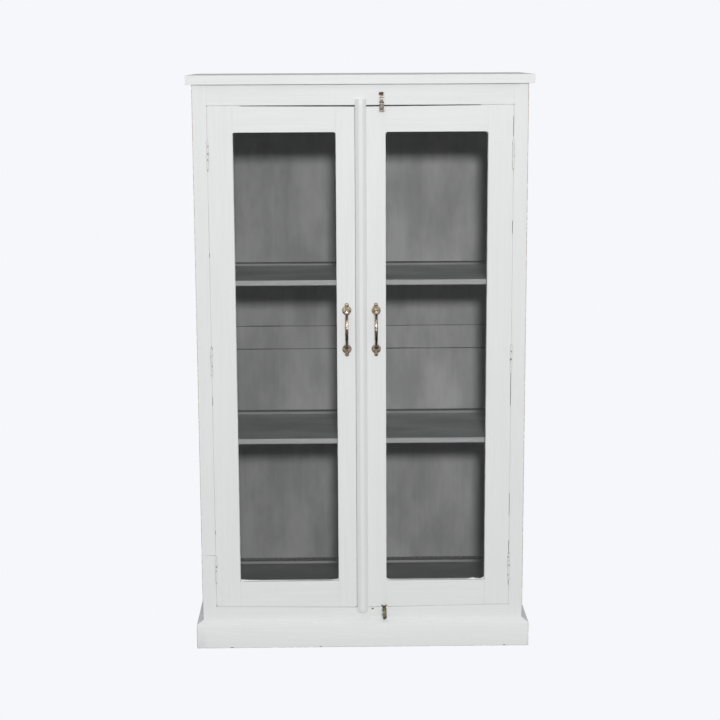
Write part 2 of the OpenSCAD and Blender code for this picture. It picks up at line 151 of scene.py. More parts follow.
def along(grain, across, lengthwise):
    """A noise scale that is stretched along the grain."""
    return tuple(lengthwise if i == grain else across for i in range(3))


def rgb(r, g, b):
    return (r, g, b, 1.0)


WOOD = rgb(0.36, 0.25, 0.16)
DIRT = rgb(0.42, 0.40, 0.36)
BLACK = rgb(0.0, 0.0, 0.0)


def brushed_paint(name, light, shade, grain, mottle=0.3, bumps=0.14, grime=0.12, seed=0.0,
                  fades=(), chalky=False):
    """Paint laid on with a brush along the grain, and worn to the wood where a piece is marked.

    Mottle is the share of soft clouds against streaks. Bumps is the depth of the brush marks in
    millimetres. A fade is (axis, place of none, place of full, how much darker). Chalky paint
    mirrors very little.
    """
    p = Paint(name)
    streaks = p.noise(along(grain, 150, 5), 3, 0.6, seed)
    bristles = p.noise(along(grain, 700, 14), 2, 0.6, seed + 3)
    clouds = p.noise(along(grain, 9, 4), 4, 0.6, seed + 7)
    specks = p.noise((90, 90, 90), 4, 0.65, seed + 11)
    share = p.mix(mottle, streaks, clouds)
    colour = p.mix(p.step(share, 0.3, 0.7), light, shade)
    for axis, none, full, amount in fades:
        place = p.add("SeparateXYZ", {0: p.where}, out=axis)
        colour = p.mix(p.math("MULTIPLY", p.step(place, none, full), amount), colour, BLACK)
    colour = p.mix(p.math("MULTIPLY", p.step(specks, 0.60, 0.72), grime), colour, DIRT)
    worn = p.math("MULTIPLY", p.mark("worn"), p.step(specks, 0.36, 0.52))
    p.set(base_color=p.mix(worn, colour, WOOD))
    matt = 0.3 if chalky else 0.0
    p.set(roughness=p.spread(streaks, 0.42 + matt, 0.6 + matt))
    p.shader.inputs["Specular IOR Level"].default_value = 0.08 if chalky else 0.5
    p.bump(p.math("ADD", streaks, p.math("MULTIPLY", bristles, 0.5)), bumps * MM)
    return p.material


def paints(name, light, shade, **settings):
    """The same paint brushed along x, along y and along z."""
    return [brushed_paint(f"{name}_{'xyz'[g]}", light, shade, g, **settings) for g in (X, Y, Z)]


white = paints("white_paint", rgb(0.82, 0.83, 0.825), rgb(0.79, 0.802, 0.797), bumps=0.08)
wash = {"mottle": 0.88, "bumps": 0.05, "grime": 0.0, "chalky": True}
cleat_grey = brushed_paint("grey_wash", rgb(0.35, 0.352, 0.35), rgb(0.24, 0.242, 0.241), Y, **wash)
inner = paints("inner_wash", rgb(0.14, 0.141, 0.14), rgb(0.10, 0.101, 0.10), **wash)
floor_grey = brushed_paint("floor_wash", rgb(0.20, 0.20, 0.198), rgb(0.14, 0.14, 0.138), X, **wash)
leftward, downward = (X, 0.3, -0.3, 0.2), (Z, 0.64, 0.56, 0.14)
upper_back = brushed_paint("upper_back_wash", rgb(0.56, 0.56, 0.56), rgb(0.37, 0.37, 0.37), Z,
                           fades=(leftward,), **wash)
lower_back = brushed_paint("lower_back_wash", rgb(0.60, 0.60, 0.60), rgb(0.40, 0.40, 0.40), Z,
                           fades=(leftward, downward), **wash)
shelf_grey = brushed_paint("shelf_wash", rgb(0.445, 0.447, 0.444), rgb(0.305, 0.307, 0.306), X,
                           fades=(leftward,), **wash)
pine = paints("raw_pine", rgb(0.40, 0.31, 0.215), rgb(0.30, 0.22, 0.145), bumps=0.12, grime=0.2,
              chalky=True)
pale_edge = brushed_paint("pale_edge_paint", rgb(0.60, 0.61, 0.61), rgb(0.50, 0.51, 0.51), X, seed=20)
strip_grey = brushed_paint("strip_paint", rgb(0.40, 0.405, 0.40), rgb(0.31, 0.315, 0.31), X, seed=24,
                           chalky=True)
floor_strip_grey = brushed_paint("floor_strip_paint", rgb(0.42, 0.42, 0.417), rgb(0.30, 0.30, 0.298),
                                 X, seed=26, chalky=True)
# Dark grey for dust and painted shadow: the strips' top faces and the bands above them stand in for the
# shade of the joint with the back. The open joints of the back use it too.
dust_and_shadow_dark = brushed_paint("dust_and_painted_shadow", rgb(0.15, 0.15, 0.147), rgb(0.09, 0.09, 0.088), X,
                          seed=28, **wash)


def aged_metal(name, bright, patina, dull, low, high):
    """Cast metal with a brown patina in patches and where a piece is marked dark, a mark that also
    carries painted shade, and a dull crust where a piece is marked as dull.
    """
    p = Paint(name)
    blotches = p.noise((160, 160, 160), 5, 0.7)
    grains = p.noise((1500, 1500, 1500), 2, 0.5)
    share = p.math("MAXIMUM", p.step(blotches, low, high), p.mark("dark"))
    crust = p.math("MULTIPLY", p.mark("dull"), p.spread(p.noise((300, 300, 300), 3, 0.6, 5.0), 0.55, 1.0))
    p.set(base_color=p.mix(crust, p.mix(share, bright, patina), p.mix(share, dull, patina)))
    p.set(metallic=p.spread(crust, 1.0, 0.2))
    p.set(roughness=p.math("ADD", p.spread(blotches, 0.18, 0.42), p.math("MULTIPLY", crust, 0.25)))
    p.bump(p.math("ADD", grains, blotches), 0.1 * MM)
    return p.material


def painted_metal(name, metal, patina, chip):
    """Metal under old white paint, bare in chips. A lower chip level gives more of them."""
    p = Paint(name)
    chips = p.noise((130, 130, 130), 4, 0.6, 2.0)
    stains = p.noise((260, 260, 180), 4, 0.6, 6.0)
    bare = p.step(chips, chip - 0.04, chip + 0.04)
    ground = p.mix(p.step(stains, 0.4, 0.6), metal, patina)
    p.set(base_color=p.mix(bare, rgb(0.80, 0.80, 0.78), ground), roughness=0.45)
    p.set(metallic=p.math("MULTIPLY", bare, 0.6))
    p.bump(p.math("ADD", chips, stains), 0.15 * MM)
    return p.material


def flaked_metal(name, sheen):
    """Old metal with layers of paint and brown stains, in the colours that a piece is tinted with; the
    tints can also hold painted highlights and shade.
    """
    p = Paint(name)
    tint = p.add("Attribute", {}, attribute_name="tint")
    stains = p.noise((330, 330, 260), 4, 0.65, 6.0)
    p.set(base_color=p.mix(p.step(stains, 0.42, 0.66), tint,
                           p.add("VectorMath", {0: tint, "Scale": 0.55}, operation="SCALE")))
    p.set(roughness=p.spread(stains, 0.35, 0.6), metallic=sheen)
    p.bump(stains, 0.2 * MM)
    return p.material


def plain(name, colour, rough, metallic=0.0):
    """A plain hard surface with fine scratches."""
    p = Paint(name)
    scratches = p.noise((400, 400, 60), 3, 0.6)
    scratched = rgb(*[c * 0.6 for c in colour[:3]])
    p.set(base_color=p.mix(p.math("MULTIPLY", scratches, 0.4), colour, scratched))
    p.set(roughness=p.spread(scratches, rough, rough + 0.2))
    p.set(metallic=metallic)
    p.bump(scratches, 0.05 * MM)
    return p.material


def window_glass():
    """Clear, slightly dusty glass. The lamp shines through it, and it dims light that has bounced."""
    p = Paint("window_glass")
    dust = p.noise((30, 30, 30), 4, 0.6)
    p.set(base_color=p.mix(dust, rgb(0.985, 0.99, 0.985), rgb(0.95, 0.955, 0.95)))
    p.set(roughness=0.0, transmission_weight=1.0)
    p.shader.inputs["IOR"].default_value = 1.45
    clear = p.add("BsdfTransparent", {"Color": rgb(0.95, 0.955, 0.95)})
    dim = p.add("BsdfTransparent", {"Color": rgb(0.03, 0.03, 0.03)})
    ray = p.tree.nodes.new("ShaderNodeLightPath").outputs
    soft = p.add("MixShader", {0: ray["Is Diffuse Ray"], 1: p.shader.outputs[0], 2: dim})
    both = p.add("MixShader", {0: ray["Is Shadow Ray"], 1: soft, 2: clear})
    p.tree.links.new(both, p.tree.nodes["Material Output"].inputs["Surface"])
    return p.material


cast_brass = aged_metal("cast_brass", rgb(0.62, 0.57, 0.47), rgb(0.17, 0.115, 0.08),
                        rgb(0.40, 0.34, 0.24), 0.42, 0.56)
bolt_metal = flaked_metal("flaked_bolt_paint_and_painted_light", 0.1)
hinge_paint = painted_metal("painted_hinge", rgb(0.25, 0.24, 0.22), rgb(0.10, 0.09, 0.08), chip=0.6)
steel = plain("dull_screw_steel", rgb(0.42, 0.40, 0.36), 0.35, 1.0)
bare_wood = plain("bare_wood", rgb(0.22, 0.14, 0.09), 0.6)
dark_screw = plain("dull_brass_screw", rgb(0.30, 0.27, 0.17), 0.4, 1.0)
magnet = plain("magnet_case", rgb(0.03, 0.03, 0.03), 0.5)
glass = window_glass()


# ---- mesh helpers ----

def cad_mesh(node):
    """A welded copy of a node's mesh, with one face for each flat side."""
    bm = bmesh.new()
    bm.from_mesh(frame["nodes"][node].data)
    bmesh.ops.remove_doubles(bm, verts=bm.verts, dist=WELD)
    bmesh.ops.dissolve_limit(bm, angle_limit=math.radians(FLAT), verts=bm.verts, edges=bm.edges)
    return bm


def mark_faces(bm, name, rule):
    """Stores rule(middle) of each face as a number on its corners."""
    layer = bm.loops.layers.float.get(name) or bm.loops.layers.float.new(name)
    for f in bm.faces:
        amount = rule(f.calc_center_median())
        for loop in f.loops:
            loop[layer] = amount


def tint_faces(bm, rule):
    """Gives each face the colour rule(middle)."""
    layer = bm.loops.layers.float_color.new("tint")
    for f in bm.faces:
        colour = rule(f.calc_center_median())
        for loop in f.loops:
            loop[layer] = (*colour, 1.0)


def publish(name, bm, host, materials, stands_for=(), sharp=18):
    """Makes a bmesh into a piece that rides with its host node and stands for the nodes it replaces."""
    for e in bm.edges:
        e.smooth = not (len(e.link_faces) == 2 and e.calc_face_angle(0) > math.radians(sharp))
    for f in bm.faces:
        f.smooth = True
    bm.normal_update()
    mesh = bpy.data.meshes.new(name)
    bm.to_mesh(mesh)
    bm.free()
    for m in materials:
        mesh.materials.append(m)
    piece = bpy.data.objects.new(name, mesh)
    scene.collection.objects.link(piece)
    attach(piece, BODY_OF[host])
    if stands_for:
        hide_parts(*stands_for)
    return piece


trees = {}


def solid(node):
    """A search tree over a node's mesh, made once."""
    if node not in trees:
        bm = bmesh.new()
        bm.from_mesh(frame["nodes"][node].data)
        bmesh.ops.remove_doubles(bm, verts=bm.verts, dist=WELD)
        trees[node] = BVHTree.FromBMesh(bm)
        bm.free()
    return trees[node]


def neighbours(node, names):
    """The named nodes of the same body whose boxes touch this node's box."""
    lo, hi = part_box(node)
    near = []
    for other in names:
        if other == node or BODY_OF[other] != BODY_OF[node]:
            continue
        a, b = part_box(other)
        if all(a[i] < hi[i] + MM / 10 and b[i] > lo[i] - MM / 10 for i in range(3)):
            near.append(other)
    return near


def inside(point, others):
    """True if the point is just inside one of the other nodes."""
    for other in others:
        spot, normal, _, far = solid(other).find_nearest(point, 1.5 * MM)
        if spot is not None and (point - spot).dot(normal) < 0:
            return True
    return False


def meets(edge, others):
    """True if a neighbour's wood carries on one of the edge's two faces."""
    mid = (edge.verts[0].co + edge.verts[1].co) / 2
    a, b = (f.normal * 0.3 * MM for f in edge.link_faces)
    return inside(mid + a - b, others) or inside(mid + b - a, others)


def cut_across(bm, axis, places):
    for place in places:
        bmesh.ops.bisect_plane(bm, geom=bm.verts[:] + bm.edges[:] + bm.faces[:], dist=1e-6,
                               plane_co=AXES[axis] * place, plane_no=AXES[axis])


def cuts(lo, hi, wanted, step):
    """Even cuts between lo and hi, with the wanted ones kept and none of them too close together."""
    kept = []
    for place in sorted(wanted):
        if lo + 4 * MM < place < hi - 4 * MM and all(abs(place - k) > 3 * MM for k in kept):
            kept.append(place)
    count = max(1, round((hi - lo) / step))
    for i in range(1, count):
        place = lo + (hi - lo) * i / count
        if all(abs(place - k) > step * 0.35 for k in kept):
            kept.append(place)
    return sorted(kept)


def ease(bm, width, others=(), worn=None):
    """Rounds each outer arris, apart from those where a neighbour carries on.

    worn(point) is the wear of the new faces.
    """
    arris = bm.loops.layers.float.get("arris") or bm.loops.layers.float.new("arris")
    wear = bm.loops.layers.float.get("worn") or bm.loops.layers.float.new("worn")
    edges = [e for e in bm.edges if len(e.link_faces) == 2 and e.calc_face_angle_signed(0) > 0.6
             and not meets(e, others)]
    made = bmesh.ops.bevel(bm, geom=edges, offset=width, segments=2, profile=0.5, affect="EDGES",
                           clamp_overlap=False)
    for f in made["faces"]:
        amount = worn(f.calc_center_median()) if worn else 0.0
        for loop in f.loops:
            loop[arris] = 1.0
            loop[wear] = amount


def handmade(bm):
    """Moves the surface inwards a little, more on the arrises, as hand-planed wood has."""
    mark = bm.loops.layers.float.get("arris")
    bm.normal_update()
    moves = []
    for v in bm.verts:
        amount = 0.5 + 0.5 * noise.noise(v.co / HAND_SIZE + Vector((HAND_SEED, HAND_SEED * 2, 0)))
        if any(loop[mark] for loop in v.link_loops):
            fine = v.co / (HAND_SIZE * 0.35) + Vector((0, HAND_SEED, HAND_SEED * 3))
            amount += 0.8 + 1.2 * noise.noise(fine)
        moves.append((v, v.normal * HAND_DEPTH * amount))
    for v, move in moves:
        v.co -= move


WOODEN = [n for n in frame["nodes"] if n in BODY_OF and any(word in n for word in (
    "board", "side", "stile", "rail", "shelf", "cleat", "panel", "strip", "plinth", "stop", "beads"))]


def wooden(node, grain, coats, rule, width, worn):
    """One painted wooden member: its CAD shape with eased, hand-worked arrises.

    rule(face) is the number of the coat that a face gets, and width is how much an arris is eased.
    """
    others = neighbours(node, WOODEN)
    lo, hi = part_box(node)
    bm = cad_mesh(node)
    wanted = [b[grain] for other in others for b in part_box(other)]
    cut_across(bm, grain, cuts(lo[grain], hi[grain], wanted, CUT_STEP))
    ease(bm, width, others, worn)
    handmade(bm)
    bm.normal_update()
    if rule:
        for f in bm.faces:
            f.material_index = rule(f)
    return publish("v_" + node, bm, node, coats, [node])


def looks_in(face):
    """1 for a face that looks into the cabinet."""
    point = face.calc_center_median() + face.normal * 2 * MM
    return int(all(inside_lo[i] + MM < point[i] < inside_hi[i] - MM for i in range(3)))


def looks_forward(face):
    return int(face.normal.y < -0.6)


def looks_back(face):
    return int(face.normal.y > 0.6)


def looks_up(face):
    return int(face.normal.z > 0.3)


body_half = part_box("right_side")[1].x
plinth_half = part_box("plinth_right")[1].x


def corner_wear(point):
    """Wear along the floor and on the outer upright edges, more of it on the right."""
    if point.z < cad_lo.z + 4 * MM:
        return 1.0
    half = plinth_half if point.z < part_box("plinth_front")[1].z and point.y < face_y else body_half
    at_corner = abs(abs(point.x) - half) < 3 * MM and point.y < face_y + 4 * MM
    return (0.9 if point.x > 0 else 0.7) * at_corner


both_x, both_z = ([white[g], inner[g]] for g in (X, Z))
edged = [shelf_grey, pale_edge]
# node: (grain, coats, rule, eased width in millimetres, wear)
plan = {
    "top_board": (X, both_x, looks_in, 0.8, None),
    "left_side": (Z, both_z, looks_in, 1.6, None),
    "right_side": (Z, both_z, looks_in, 1.6, None),
    "left_face_stile": (Z, both_z, looks_in, 1.6, corner_wear),
    "right_face_stile": (Z, both_z, looks_in, 1.6, corner_wear),
    "top_face_rail": (X, both_x, looks_in, 0.9, None),
    "bottom_face_rail": (X, both_x, looks_in, 0.9, None),
    "top_door_stop": (X, [white[X]], None, 0.8, None),
    "bottom_board": (X, [floor_grey, pale_edge], looks_forward, 1.0, None),
    "shelf_upper": (X, edged, looks_forward, 1.0, None),
    "shelf_lower": (X, edged, looks_forward, 1.0, None),
    "shelf_cleats": (Y, [cleat_grey], None, 0.8, None),
    "top_cleats": (Y, [cleat_grey], None, 0.8, None),
    "back_panel_upper": (X, [upper_back, pine[Z]], looks_back, 0.7, None),
    "back_rail": (X, [lower_back, pine[X]], looks_back, 0.7, None),
    "back_panel_lower": (X, [lower_back, pine[Z]], looks_back, 0.7, None),
    # The strips' top faces get the dark grey as painted shadow; the wide eased arris of the upper strip
    # makes its dark line wider.
    "shelf_strip_upper": (X, [strip_grey, dust_and_shadow_dark], looks_up, 3.0, None),
    "shelf_strip_lower": (X, [strip_grey, dust_and_shadow_dark], looks_up, 1.2, None),
    "floor_strip": (X, [floor_strip_grey, dust_and_shadow_dark], looks_up, 0.8, None),
    "plinth_front": (X, [white[X]], None, 1.4, corner_wear),
    "plinth_left": (Y, [white[Y]], None, 1.4, corner_wear),
    "plinth_right": (Y, [white[Y]], None, 1.4, corner_wear),
    "plinth_back": (X, [white[X]], None, 1.0, None),
    "cover_strip": (Z, [white[Z]], None, 0.9, None),
}
for side in ("left", "right"):
    for member, grain in (("hinge_stile", Z), ("meeting_stile", Z),
                          ("top_rail", X), ("bottom_rail", X)):
        plan[f"{side}_{member}"] = (grain, [white[grain], inner[grain]], looks_back, 0.8, None)
    plan[f"{side}_glazing_beads"] = (Z, [white[Z], inner[Z]], looks_back, 0.6, None)

for node, (grain, coats, rule, width, worn) in plan.items():
    wooden(node, grain, coats, rule, width * MM, worn)


# ---- paint on the glass, and chips in the paint ----

REBATE = 8 * MM


def path_round(x0, x1, z0, z1, radius, spacing):
    """Points round a rectangle with round corners, each with the way in."""
    path = []
    corners = ((x1 - radius, z1 - radius, 0), (x0 + radius, z1 - radius, 90),
               (x0 + radius, z0 + radius, 180), (x1 - radius, z0 + radius, 270))
    for i, (cx, cz, start) in enumerate(corners):
        for k in range(5):
            a = math.radians(start + 22.5 * k)
            out = Vector((math.cos(a), 0, math.sin(a)))
            path.append((Vector((cx, 0, cz)) + out * radius, -out))
        nx, nz, turn = corners[(i + 1) % 4]
        last, way = path[-1]
        a = math.radians(turn)
        first = Vector((nx, 0, nz)) + Vector((math.cos(a), 0, math.sin(a))) * radius
        count = max(2, round((first - last).length / spacing))
        path += [(last.lerp(first, k / count), way) for k in range(1, count)]
    return path


def paint_on_glass(side, radius, smears):
    """The ragged line of paint that runs from the wood onto the glass, with a few wider smears.

    A smear is (distance from the outer lower corner, half its length, height), along the lower edge.
    """
    lo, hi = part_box(f"{side}_glazing_beads")
    x0, x1, z0, z1 = lo.x + REBATE, hi.x - REBATE, lo.z + REBATE, hi.z - REBATE
    outer = x0 if side == "left" else x1
    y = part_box(f"{side}_glass")[0].y
    bm = bmesh.new()
    rings = []
    for spot, way in path_round(x0, x1, z0, z1, radius, 4 * MM):
        rag = noise.noise(spot * 130) * 0.5 + noise.noise(spot * 40)
        width = (0.45 + 0.35 * rag) * MM
        if way.z > 0.5:
            for place, half, height in smears:
                share = 1 - abs(abs(spot.x - outer) - place) / half
                width += height * max(0.0, share) ** 0.7 * (1 + 0.15 * rag)
        inner, shallow, buried = spot + way * width, spot + way * width * 0.8, spot - way * 1.2 * MM
        rings.append([bm.verts.new((p.x, y + depth * MM, p.z)) for p, depth in
                      ((buried, 0.0), (buried, -0.3), (shallow, -0.25), (inner, 0.0))])
    for a, b in zip(rings, rings[1:] + rings[:1]):
        for k in range(4):
            bm.faces.new((a[k], a[(k + 1) % 4], b[(k + 1) % 4], b[k]))
    bmesh.ops.recalc_face_normals(bm, faces=bm.faces)
    publish(f"v_{side}_paint_on_glass", bm, f"{side}_bottom_rail", [white[X]])


paint_on_glass("left", 6 * MM,
               ((0, 0.055, 3.2 * MM), (0.2785, 0.02, 3.0 * MM), (0.09, 0.05, 0.8 * MM)))
paint_on_glass("right", 9 * MM,
               ((0.033, 0.014, 2.6 * MM), (0, 0.012, 3.0 * MM), (0.2785, 0.02, 1.5 * MM)))


def levels(node, room):
    """The (low, high) spans of a node's separate parts along z, with room added at both ends."""
    heights = sorted(v.co.z for v in frame["nodes"][node].data.vertices)
    spans = [[heights[0], heights[0]]]
    for z in heights:
        if z - spans[-1][1] > 20 * MM:
            spans.append([z, z])
        spans[-1][1] = z
    return [(low - room, high + room) for low, high in spans]


def bar(bm, lo, hi):
    """A thin six-sided bar between two corners."""
    corners = [bm.verts.new((x, y, z)) for z in (lo[2], hi[2]) for x, y in
               ((lo[0], lo[1]), (hi[0], lo[1]), (hi[0], hi[1]), (lo[0], hi[1]))]
    for ids in ((3, 2, 1, 0), (4, 5, 6, 7), (0, 1, 5, 4), (1, 2, 6, 5), (2, 3, 7, 6), (3, 0, 4, 7)):
        bm.faces.new([corners[i] for i in ids])


def painted_shadow_line(strip, above):
    """A dark band along the top of a strip, where it meets the back: painted shadow standing in for the
    shade in the joint there.
    """
    lo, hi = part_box(strip)
    bm = bmesh.new()
    count = 60
    for k in range(count):
        ends = [lo.x + (hi.x - lo.x) * (k + share) / count for share in (0, 1)]
        top = above * (1 + 0.12 * noise.noise(Vector((k * 0.4, above * 900, 0))))
        bar(bm, (ends[0], hi.y - 1.4 * MM, hi.z - 1 * MM), (ends[1], hi.y + 0.1 * MM, hi.z + top))
    publish("v_" + strip + "_painted_shadow", bm, strip, [dust_and_shadow_dark])


# Bands of painted shadow above the three strips, taller above the lower ones.
painted_shadow_line("shelf_strip_upper", 1.5 * MM)
painted_shadow_line("shelf_strip_lower", 3.2 * MM)
painted_shadow_line("floor_strip", 7.5 * MM)


def back_joints(heights):
    """The open joints above and below the back rail, dark with dust and of uneven width."""
    lo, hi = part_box("back_rail")
    bm = bmesh.new()
    count = 90
    for z, tall in zip((lo.z, hi.z), heights):
        for k in range(count):
            ends = [lo.x + (hi.x - lo.x) * (k + share) / count for share in (0, 1)]
            half = tall / 2 * (1 + 0.6 * noise.noise(Vector((k * 0.09, z * 70, 0))))
            mid = z + 0.4 * MM * noise.noise(Vector((k * 0.11, z * 40, 5)))
            bar(bm, (ends[0], inner_back - 0.1 * MM, mid - half),
                (ends[1], inner_back + 1 * MM, mid + half))
    publish("v_back_joints", bm, "back_rail", [dust_and_shadow_dark])


back_joints((2.4 * MM, 1.9 * MM))


def gap_paint(side, breaks, slit):
    """Old paint that has run into a door's outer gap, the outer end of its top gap and its bottom gap.

    It sits on the door, sunk a little. A break is the (lowest, highest) place of a stretch without
    paint, and slit is the crack that is left beside it.
    """
    lo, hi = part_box(f"{side}_hinge_stile")
    frame_lo, frame_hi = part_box(f"{side}_face_stile")
    outward = -1 if side == "left" else 1
    edge, stop = (lo.x, frame_hi.x) if side == "left" else (hi.x, frame_lo.x)
    holes = levels(f"{side}_door_leaves", 1 * MM) + breaks
    near, far = lo.y + 0.2 * MM, lo.y + 3 * MM
    bm = bmesh.new()
    step = 6 * MM
    for k in range(int((hi.z - lo.z) / step)):
        z = lo.z + k * step + 1.5 * MM
        top = z + step
        if top > hi.z - 0.5 * MM or any(low < top and high > z for low, high in holes):
            continue
        rag = slit * (1 + 0.6 * noise.noise(Vector((0, 0, z * 60))))
        ends = sorted((edge - outward * 0.3 * MM, stop - outward * rag))
        bar(bm, (ends[0], near, z), (ends[1], far, top))
    door_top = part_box(f"{side}_top_rail")[1].z
    frame_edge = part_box("top_face_rail")[0].z
    for start, end, left in ((0.5, 26, 0.12), (28, 52, 0.2), (54, 88, 0.25)):
        ends = sorted((edge - outward * start * MM, edge - outward * end * MM))
        bar(bm, (ends[0], near, door_top - 1.6 * MM), (ends[1], far, frame_edge - left * MM))
    outer_z, inner_z = lo.z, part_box(f"{side}_meeting_stile")[0].z
    inner_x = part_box(f"{side}_meeting_stile")[1 if side == "left" else 0].x + outward * 4 * MM
    count = 40
    for k in range(count):
        ends = sorted(edge + (inner_x - edge) * (k + share) / count for share in (0, 1))
        share = (k + 0.5) / count
        z = outer_z + (inner_z - outer_z) * share
        rag = 0.5 + 0.2 * noise.noise(Vector((k * 0.7, 0, 3)))
        bar(bm, (ends[0], near, z - rag * MM), (ends[1], far, z + 0.5 * MM))
    bmesh.ops.recalc_face_normals(bm, faces=bm.faces)
    publish(f"v_{side}_gap_paint", bm, f"{side}_hinge_stile", [white[Z]])


gap_paint("left", [(0.1, 0.122), (0.331, 0.336), (0.702, 0.722), (1.12, 1.126), (1.36, 1.372)],
          0.05 * MM)
gap_paint("right", [(0.178, 0.30), (0.38, 0.44), (0.70, 0.78), (1.18, 1.21), (1.44, 1.49)], 0.08 * MM)


def chip(name, host, x, z, wide, high, y, colour):
    """A small flake of paint gone from a face that looks forward, as a very thin irregular scab."""
    bm = bmesh.new()
    rim = []
    for k in range(14):
        a = 2 * math.pi * k / 14
        reach = 1 + 0.45 * noise.noise(Vector((x * 900, k * 1.7, z * 900)))
        rim.append(Vector((x + math.cos(a) * wide / 2 * reach, y, z + math.sin(a) * high / 2 * reach)))
    front = [bm.verts.new(p.lerp(Vector((x, y, z)), 0.15) - Vector((0, 0.12 * MM, 0))) for p in rim]
    back = [bm.verts.new(p + Vector((0, 0.3 * MM, 0))) for p in rim]
    bm.faces.new(front)
    bm.faces.new(back[::-1])
    for k in range(14):
        n = (k + 1) % 14
        bm.faces.new((front[k], back[k], back[n], front[n]))
    bmesh.ops.recalc_face_normals(bm, faces=bm.faces)
    publish(name, bm, host, [colour])


# ---- metal and glass from the CAD ----

def dress(material, *nodes):
    """Gives CAD nodes that stay as they are a material."""
    for n in nodes:
        mesh = frame["nodes"][n].data
        mesh.materials.clear()
        mesh.materials.append(material)


for side in ("left", "right"):
    dress(glass, f"{side}_glass")
    dress(hinge_paint, f"{side}_frame_leaves", f"{side}_door_leaves", f"{side}_hinge_pins")
    dress(steel, f"{side}_frame_leaf_screws", f"{side}_door_leaf_screws")
dress(steel, "bolt_plate_screws", "bolt_keeper_screws", "catch_strike")
dress(magnet, "catch_magnet")


# ---- handles ----

FOOT_R, LOBE_R, LOBE_SPAN = 13.8 * MM, 6 * MM, 15 * MM
BAR_R, BOSS_R = 4.4 * MM, 6.8 * MM
SCREW_OFF = 9 * MM


def ring(bm, centre, radius, height, steps):
    return [bm.verts.new(centre + Vector((math.cos(2 * math.pi * k / steps) * radius, -height,
                                          math.sin(2 * math.pi * k / steps) * radius)))
            for k in range(steps)]


def join_rings(bm, rings):
    for a, b in zip(rings, rings[1:]):
        count = len(a)
        for k in range(count):
            bm.faces.new((a[k], a[(k + 1) % count], b[(k + 1) % count], b[k]))
    bm.faces.new(rings[0])
    bm.faces.new(rings[-1])


def turned(bm, centre, profile, steps=36):
    """A solid turned about an axis that points forward, from (radius, height) pairs in millimetres."""
    join_rings(bm, [ring(bm, centre, r * MM, h * MM, steps) for r, h in profile])


def swept(bm, points, radii, steps=28):
    """A round bar along points in a plane of constant x."""
    rings = []
    for i, (point, radius) in enumerate(zip(points, radii)):
        ahead = (points[min(i + 1, len(points) - 1)] - points[max(i - 1, 0)]).normalized()
        across = ahead.cross(AXES[X])
        turns = [2 * math.pi * k / steps for k in range(steps)]
        rings.append([bm.verts.new(point + (AXES[X] * math.cos(a) + across * math.sin(a)) * radius)
                      for a in turns])
    join_rings(bm, rings)


def one_skin(bm, voxel, softness, keep):
    """One skin over overlapping solids, with soft fillets where they meet, as a casting has."""
    bmesh.ops.recalc_face_normals(bm, faces=bm.faces)
    mesh = bpy.data.meshes.new("blank")
    bm.to_mesh(mesh)
    bm.free()
    blank = bpy.data.objects.new("blank", mesh)
    scene.collection.objects.link(blank)
    skin = blank.modifiers.new("skin", "REMESH")
    skin.mode = "VOXEL"
    skin.voxel_size = voxel
    soft = blank.modifiers.new("soft", "SMOOTH")
    soft.iterations = softness
    thin = blank.modifiers.new("thin", "DECIMATE")
    thin.ratio = keep
    made = bmesh.new()
    made.from_mesh(blank.evaluated_get(bpy.context.evaluated_depsgraph_get()).to_mesh())
    bpy.data.objects.remove(blank)
    bpy.data.meshes.remove(mesh)
    return made


